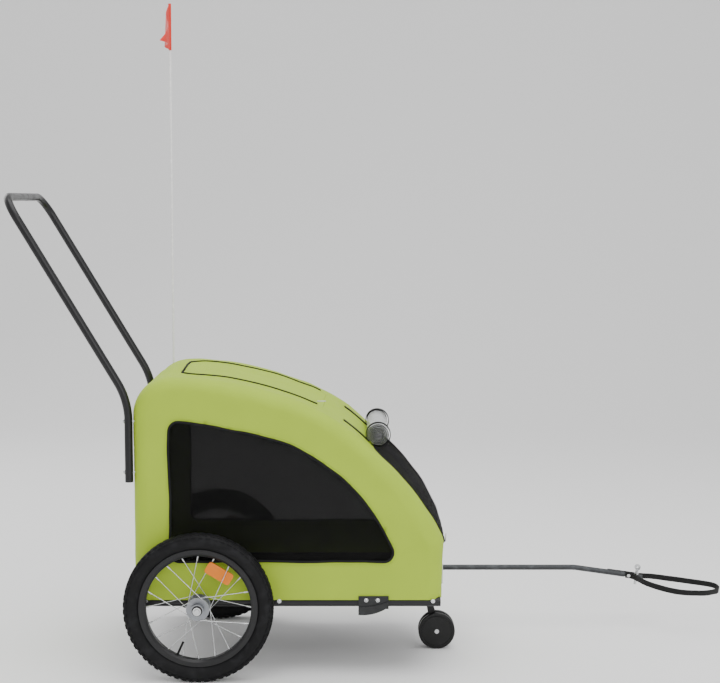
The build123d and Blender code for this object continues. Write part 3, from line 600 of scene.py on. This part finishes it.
# %% [markdown]
# The side panels are sewn to the roof and front panel with a corded seam, so a
# thin green cord follows the edge of each side, with a row of stitches inside.

# %% Corded seams round the side panels
for side, sign in (("right", -1), ("left", 1)):
    outline = resample(edge_loops("cabin_cover", (0, sign, 0), 0.98)[0], 0.007)
    outline = [point for point in outline if point.z > 0.222]
    lowest = min(range(len(outline)), key=lambda i: abs(outline[i].z - 0.222) + (outline[i].x < -0.6) * 9)
    outline = outline[lowest:] + outline[:lowest]
    grow(path_object("p", [outline]), cord_tree, f"side_seam_{side}", "chassis", "cabin_fabric",
         Radius=0.0019, Finish=green_thread)
    row = outset(outline, -0.008, (0, 1, 0))
    grow(path_object("p", [row]), bead_tree, f"side_stitches_{side}", "chassis", "cabin_fabric",
         Finish=green_thread)

# %% [markdown]
# The roof flap, the front flap and the rear flap close with zips. A dark tape
# runs round the three open edges of each, and small moulded teeth stand on it. Each zip rides on
# its flap, as the moving half does on the real cover; the fixed half is left out.
# The sewn edge that a flap turns on has no zip, so its points are dropped.

# %% Zips round the flaps
zips = {"roof": ("roof_hatch", (0.2, 0, 1)), "front": ("front_mesh_door", (0.8, 0, 0.4)),
        "rear": ("rear_door", (-1, 0, 0))}
sewn_top = {"front": 0.322, "rear": 0.246}
bodies_of_zips = {"roof": "roof_flap", "front": "front_flap", "rear": "rear_flap"}
for label, (node, facing) in zips.items():
    loop = resample(edge_loops(node, facing, 0.35)[0], 0.007)
    sewn = [point.x > -0.18 if label == "roof" else point.z < sewn_top[label] for point in loop]
    first = next(i for i in range(len(loop)) if sewn[i - 1] and not sewn[i])
    loop, sewn = loop[first:] + loop[:first], sewn[first:] + sewn[:first]
    loop = [point for point, on_hinge in zip(loop, sewn) if not on_hinge]
    body = bodies_of_zips[label]
    grow(path_object("p", [loop], closed=False), cord_tree, f"{label}_zip_tape", body, "webbing",
         Radius=0.0032, Finish=black_binding)
    lift = Vector(facing).normalized() * 0.0034
    teeth = [point + lift for point in loop]
    grow(path_object("p", [teeth], closed=False), bead_tree, f"{label}_zip_teeth", body, "black_plastic",
         Spacing=0.0036, Long=0.0015, Wide=0.005, High=0.0012, Finish=black_plastic)
    tag_at = min(teeth, key=lambda point: (point.z if label != "roof" else -point.x) + point.y * 0.2)
    tag = [tag_at + lift * 1.4 + Vector((0, 0.004 * math.sin(turn), 0)) + Vector(
        (0.011 if label == "roof" else 0, 0, 0 if label == "roof" else 0.011)) * (1 - math.cos(turn))
        for turn in [math.tau * k / 24 for k in range(24)]]
    grow(path_object("p", [tag]), cord_tree, f"{label}_zip_pull", body, "webbing",
         Radius=0.0012, Finish=pull_cord)

# %% [markdown]
# The rain cover is a sheet of clear film with a black edge, rolled up and
# strapped over the brow of the roof. It is drawn as a spiral that grows by one
# film thickness and a little air per turn, swept across the roof, with the
# edge binding following the same spiral at both ends.

# %% Rolled rain cover
low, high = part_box("rain_cover_roll")
roll_middle = (low + high) / 2
roll_outer = min(high.x - low.x, high.z - low.z) / 2
turns, inner = 4.5, 0.010
spiral = []
for i in range(int(turns * 40) + 1):
    part = i / (turns * 40)
    angle = part * turns * math.tau + 0.6
    radius = inner + (roll_outer - 0.0012 - inner) * part
    spiral.append(Vector((math.cos(angle) * radius, 0, math.sin(angle) * radius)))
across = [low.y + (high.y - low.y) * j / 40 for j in range(41)]


def roll_point(point, y):
    crease = noise.noise(Vector((point.x * 40, y * 9, point.z * 40))) * 0.0011
    squeeze = 1 - 0.05 * (math.exp(-((y - 0.136) / 0.02) ** 2) + math.exp(-((y + 0.136) / 0.02) ** 2))
    return roll_middle + Vector((point.x * squeeze, y, point.z * squeeze)) + point.normalized() * crease


verts = [roll_point(point, y) - Vector((0, roll_middle.y, 0)) for point in spiral for y in across]
wide = len(across)
faces = [(i * wide + j, i * wide + j + 1, (i + 1) * wide + j + 1, (i + 1) * wide + j)
         for i in range(len(spiral) - 1) for j in range(wide - 1)]
film_mesh = bpy.data.meshes.new("rolled_rain_film")
film_mesh.from_pydata(verts, [], faces)
film = link_piece(film_mesh, "rolled_rain_film", [clear_film])
film.modifiers.new("thick", "SOLIDIFY").thickness = 0.0006
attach(film, "chassis")
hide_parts("rain_cover_roll")
length = sum((a - b).length for a, b in zip(spiral, spiral[1:]))
ends = [[roll_point(point, y) - Vector((0, roll_middle.y, 0)) for point in spiral]
        for y in (low.y + 0.002, high.y - 0.002)]
grow(path_object("p", ends, move=lambda p: p, closed=False), cord_tree, "rain_film_binding",
     "chassis", "webbing", Radius=0.0015, Finish=black_binding)
print("film length", round(length, 3))

# %% [markdown]
# The flag is a thin nylon pennant with a sewn sleeve round its pole. Held at
# one edge it waves, more towards its tip, so the sheet is moved sideways by a
# travelling wave that grows with the distance from the pole.

# %% Flag
pole_low, pole_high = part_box("flag_pole")
flag_low, flag_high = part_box("flag")


def wave(point):
    out = max(0.0, (point.y - pole_high.y) if flag_high.y - pole_high.y > pole_low.y - flag_low.y
              else (pole_low.y - point.y))
    if out > 0:
        point.x += math.sin(out * 34 + point.z * 9) * min(0.012, out * 0.11)
    return point


flag_sheet = cloth_from("flag", flag_cloth, "flag_rod", 0.008, wave)

# %% [markdown]
# Tread blocks repeat round the axle, in four rows on each tyre. One
# tree sets a small block a given number of times round a circle. A curve could
# carry them too, but a plain circle of points gives exact counts.

# %% Ring tree: blocks round an axle
ring_tree, given, put = new_tree("blocks round an axle", [
    ("Count", "Int", 48), ("Radius", "Float", 0.19), ("Turn", "Float", 0.0),
    ("Along", "Float", 0.006), ("Across", "Float", 0.008), ("Up", "Float", 0.002),
    ("Finish", "Material", None)])
circle = add(ring_tree, "GeometryNodeCurvePrimitiveCircle", {"Resolution": given.outputs["Count"],
                                                            "Radius": given.outputs["Radius"]})
place = add(ring_tree, "GeometryNodeCurveToPoints", {"Curve": circle.outputs[0]}, mode="EVALUATED")
size = add(ring_tree, "ShaderNodeCombineXYZ", {0: given.outputs["Up"], 1: given.outputs["Across"],
                                               2: given.outputs["Along"]})
block = add(ring_tree, "GeometryNodeMeshCube", {"Size": size.outputs[0]})
set_out = add(ring_tree, "GeometryNodeInstanceOnPoints", {"Points": place.outputs["Points"],
                                                          "Instance": block.outputs[0],
                                                          "Rotation": place.outputs["Rotation"]})
turned = add(ring_tree, "GeometryNodeTransform", {0: add(
    ring_tree, "GeometryNodeRealizeInstances", {0: set_out.outputs[0]}).outputs[0]})
spin = add(ring_tree, "ShaderNodeCombineXYZ", {2: given.outputs["Turn"]})
ring_tree.links.new(spin.outputs[0], turned.inputs["Rotation"])
painted = add(ring_tree, "GeometryNodeSetMaterial", {"Geometry": turned.outputs[0],
                                                     "Material": given.outputs["Finish"]})
ring_tree.links.new(painted.outputs[0], put.inputs[0])


def ring_piece(name, body, node, offset, slot_name, **sizes):
    """Blocks round a node's axle, offset metres along it, placed in the mesh."""
    low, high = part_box(node)
    middle = (low + high) / 2
    holder = path_object("p", [[Vector((0, 0, 0)), Vector((0, 0, 0.01))]], move=lambda p: p, closed=False)
    piece = grow(holder, ring_tree, name, body, slot_name, **sizes)
    for vertex in piece.data.vertices:
        x, y, z = vertex.co
        vertex.co = Vector((middle.x + x, middle.y + offset + z, middle.z + y))
    piece.data.flip_normals()
    return piece


# %% Tread blocks
# each row: distance along the axle, radius, turn
tread_rows = ((0.0105, 0.1975, 0.0), (-0.0105, 0.1975, 0.05), (0.0175, 0.1915, 0.05),
              (-0.0175, 0.1915, 0.0))
for side in ("right", "left"):
    wheel = f"{side}_wheel"
    for row, (offset, radius, turn) in enumerate(tread_rows):
        ring_piece(f"tread_{side}_{row}", wheel, f"tyre_{side}", offset, "tyre_rubber",
                   Count=62, Radius=radius, Turn=turn, Along=0.0125, Across=0.0055, Up=0.0034,
                   Finish=tyre_rubber)
print("tread done")

# %% [markdown]
# The stage is a pale floor that curves up into a pale wall, with one wide soft
# light above, a fill at the front and an even grey-white world. The camera
# stands at the trailer's right side, a little above the handle.

# %% Stage
profile = [Vector((0, -9, 0)), Vector((0, 4, 0))]
for i in range(1, 17):
    turn = i / 16 * math.pi / 2
    profile.append(Vector((0, 4 + 3 * math.sin(turn), 3 - 3 * math.cos(turn))))
profile.append(Vector((0, 7, 9)))
verts = [Vector((x, p.y, p.z)) for p in profile for x in (-12, 12)]
faces = [(2 * i, 2 * i + 1, 2 * i + 3, 2 * i + 2) for i in range(len(profile) - 1)]
stage_mesh = bpy.data.meshes.new("pale_floor")
stage_mesh.from_pydata(verts, [], faces)
stage_mesh.shade_smooth()
floor = bpy.data.objects.new("pale_floor", stage_mesh)
bpy.context.scene.collection.objects.link(floor)
pale = bpy.data.materials.new("pale floor")
pale.use_nodes = True
pale.node_tree.nodes["Principled BSDF"].inputs["Base Color"].default_value = (0.92, 0.92, 0.92, 1)
pale.node_tree.nodes["Principled BSDF"].inputs["Roughness"].default_value = 0.9
stage_mesh.materials.append(pale)

# %% Lights
def soft_light(name, place, target, size, power):
    data = bpy.data.lights.new(name, "AREA")
    data.size, data.energy = size, power
    lamp = bpy.data.objects.new(name, data)
    lamp.location = place
    lamp.rotation_euler = (Vector(target) - Vector(place)).to_track_quat("-Z", "Y").to_euler()
    bpy.context.scene.collection.objects.link(lamp)


soft_light("overhead", (0.2, -0.6, 4.2), (0, 0, 0.5), 4.0, 140)
soft_light("front fill", (1.6, -4.2, 2.4), (0, 0, 0.5), 3.0, 65)
soft_light("rear fill", (-3.2, 2.6, 2.8), (0, 0, 0.6), 2.5, 45)
world = bpy.data.worlds.new("studio")
world.use_nodes = True
world.node_tree.nodes["Background"].inputs["Color"].default_value = (1, 1, 1, 1)
world.node_tree.nodes["Background"].inputs["Strength"].default_value = 0.85
bpy.context.scene.world = world

# %% Camera
view = bpy.data.cameras.new("side view")
view.lens, view.sensor_width, view.sensor_fit = 76.05, 36, "HORIZONTAL"
camera = bpy.data.objects.new("side view", view)
camera.location = (-0.06495, -4.261, 1.2758)
camera.rotation_euler = (math.radians(84.685), 0, 0)
bpy.context.scene.collection.objects.link(camera)
bpy.context.scene.camera = camera
